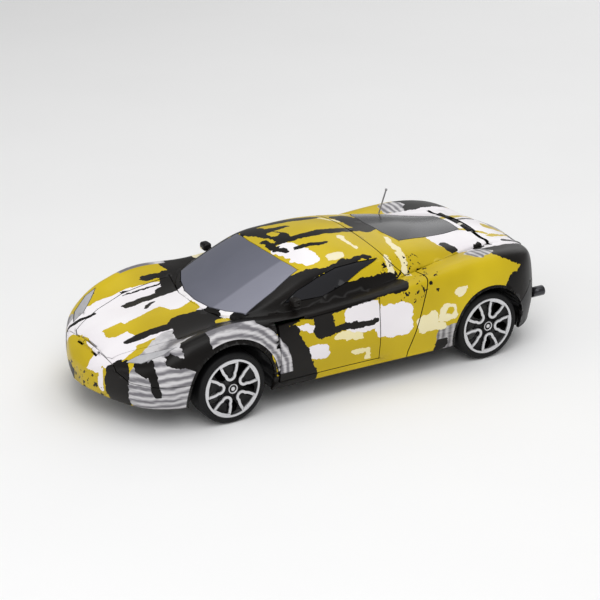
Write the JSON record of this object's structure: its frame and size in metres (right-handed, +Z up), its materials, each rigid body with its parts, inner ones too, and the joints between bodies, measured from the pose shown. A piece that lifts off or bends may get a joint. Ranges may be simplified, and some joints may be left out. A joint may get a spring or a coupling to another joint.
{
  "type": "transforming robot car",
  "caption": "Toy sports car in camouflage print whose front half stands up on a hip hinge, swings its doors out as arms and flips its hood to show a robot head.",
  "frame": {"origin": "on the ground under the middle of the car", "axes": "+X to the nose, +Y to the left side, +Z up"},
  "size_m": [0.215, 0.0948, 0.0619],
  "materials": {
    "battery_jacket": "shrink wrap",
    "black_shell": "satin gloss",
    "board": "solder mask",
    "cap_plastic": "gloss",
    "chassis_plastic": "fine texture",
    "chrome_plastic": "plated plastic",
    "gear_plastic": "natural acetal",
    "head_plastic": "satin",
    "lamp_lens": "gloss",
    "mirror_plastic": "gloss",
    "motor_steel": "plated",
    "printed_shell": "printed ABS, satin gloss",
    "rim_plastic": "silver paint and black",
    "steel": "bright",
    "switch_plastic": "matte",
    "tyre": "matte rubber",
    "visor_lens": "gloss",
    "window_plastic": "gloss"
  },
  "bodies": {
    "rear_unit": {"rear_chassis": "chassis_plastic", "rear_shell": "printed_shell", "rear_bumper": "black_shell", "hip_pin": "steel", "lift_motor": "motor_steel", "left_drive_motor": "motor_steel", "right_drive_motor": "motor_steel", "roller_pin": "steel", "exhaust_tips": "chrome_plastic", "rear_screws": "steel", "tail_lamps": "lamp_lens"},
    "front_unit": {"antenna": "steel", "battery_cells": "battery_jacket", "battery_door": "chassis_plastic", "canopy": "printed_shell", "circuit_board": "board", "door_pins": "steel", "front_bumper": "printed_shell", "front_chassis": "chassis_plastic", "front_screws": "steel", "front_shell": "printed_shell", "front_stub_axles": "steel", "headlamps": "lamp_lens", "hood_pin": "steel", "lift_sector": "gear_plastic", "mirrors": "mirror_plastic", "rear_window": "window_plastic", "side_windows": "window_plastic", "windscreen": "window_plastic"},
    "hood": {"hood_flap": "printed_shell", "robot_head": "head_plastic", "visor": "visor_lens"},
    "left_door_arm": {"left_door": "printed_shell", "left_arm": "chassis_plastic"},
    "right_door_arm": {"right_door": "printed_shell", "right_arm": "chassis_plastic"},
    "rear_left_wheel": {"rear_left_tyre": "tyre", "rear_left_rim": "rim_plastic", "rear_left_hub_cap": "cap_plastic", "rear_left_axle": "steel"},
    "rear_right_wheel": {"rear_right_tyre": "tyre", "rear_right_rim": "rim_plastic", "rear_right_hub_cap": "cap_plastic", "rear_right_axle": "steel"},
    "front_left_wheel": {"front_left_tyre": "tyre", "front_left_rim": "rim_plastic", "front_left_hub_cap": "cap_plastic"},
    "front_right_wheel": {"front_right_tyre": "tyre", "front_right_rim": "rim_plastic", "front_right_hub_cap": "cap_plastic"},
    "left_pinion": {"left_drive_pinion": "gear_plastic"},
    "right_pinion": {"right_drive_pinion": "gear_plastic"},
    "lift_gear": {"lift_pinion": "gear_plastic"},
    "roller": {"support_roller": "tyre"},
    "switch": {"power_switch": "switch_plastic"}
  },
  "joints": [
    {"name": "body_lift", "type": "hinge", "parent": "rear_unit", "child": "front_unit", "pos_m": [-0.082, 0, 0.0461], "axis": [0, -1, 0], "range_deg": [0, 90]},
    {"name": "hood_flip", "type": "hinge", "parent": "front_unit", "child": "hood", "pos_m": [0.1016, 0, 0.02756], "axis": [0, 1, 0], "range_deg": [0, 165]},
    {"name": "left_door_swing", "type": "hinge", "parent": "front_unit", "child": "left_door_arm", "pos_m": [0.031, 0.04152, 0.02], "axis": [0, 0, -1], "range_deg": [0, 50]},
    {"name": "right_door_swing", "type": "hinge", "parent": "front_unit", "child": "right_door_arm", "pos_m": [0.031, -0.04152, 0.02], "axis": [0, 0, 1], "range_deg": [0, 50]},
    {"name": "rear_left_wheel_spin", "type": "hinge", "parent": "rear_unit", "child": "rear_left_wheel", "pos_m": [-0.069, 0.039, 0.0155], "axis": [0, 1, 0], "continuous": true},
    {"name": "front_left_wheel_spin", "type": "hinge", "parent": "front_unit", "child": "front_left_wheel", "pos_m": [0.059, 0.039, 0.0155], "axis": [0, 1, 0], "continuous": true},
    {"name": "left_pinion_spin", "type": "hinge", "parent": "rear_unit", "child": "left_pinion", "pos_m": [-0.06121, 0.009, 0.02], "axis": [0, 1, 0], "continuous": true},
    {"name": "rear_right_wheel_spin", "type": "hinge", "parent": "rear_unit", "child": "rear_right_wheel", "pos_m": [-0.069, -0.039, 0.0155], "axis": [0, 1, 0], "continuous": true},
    {"name": "front_right_wheel_spin", "type": "hinge", "parent": "front_unit", "child": "front_right_wheel", "pos_m": [0.059, -0.039, 0.0155], "axis": [0, 1, 0], "continuous": true},
    {"name": "right_pinion_spin", "type": "hinge", "parent": "rear_unit", "child": "right_pinion", "pos_m": [-0.06121, -0.009, 0.02], "axis": [0, 1, 0], "continuous": true},
    {"name": "lift_pinion_spin", "type": "hinge", "parent": "rear_unit", "child": "lift_gear", "pos_m": [-0.0724, 0.004, 0.02947], "axis": [0, -1, 0], "range_deg": [-300, 30]},
    {"name": "roller_spin", "type": "hinge", "parent": "rear_unit", "child": "roller", "pos_m": [-0.034, 0, 0.0052], "axis": [0, 1, 0], "continuous": true},
    {"name": "power_slide", "type": "slide", "parent": "front_unit", "child": "switch", "axis": [1, 0, 0], "range_m": [0, 0.003]}
  ],
  "couplings": [
    {"joint": "hood_flip", "follows": "body_lift", "ratio": 1.8333},
    {"joint": "left_door_swing", "follows": "body_lift", "ratio": 0.55556},
    {"joint": "right_door_swing", "follows": "body_lift", "ratio": 0.55556},
    {"joint": "left_pinion_spin", "follows": "rear_left_wheel_spin", "ratio": -2},
    {"joint": "right_pinion_spin", "follows": "rear_right_wheel_spin", "ratio": -2},
    {"joint": "lift_pinion_spin", "follows": "body_lift", "ratio": -3}
  ]
}
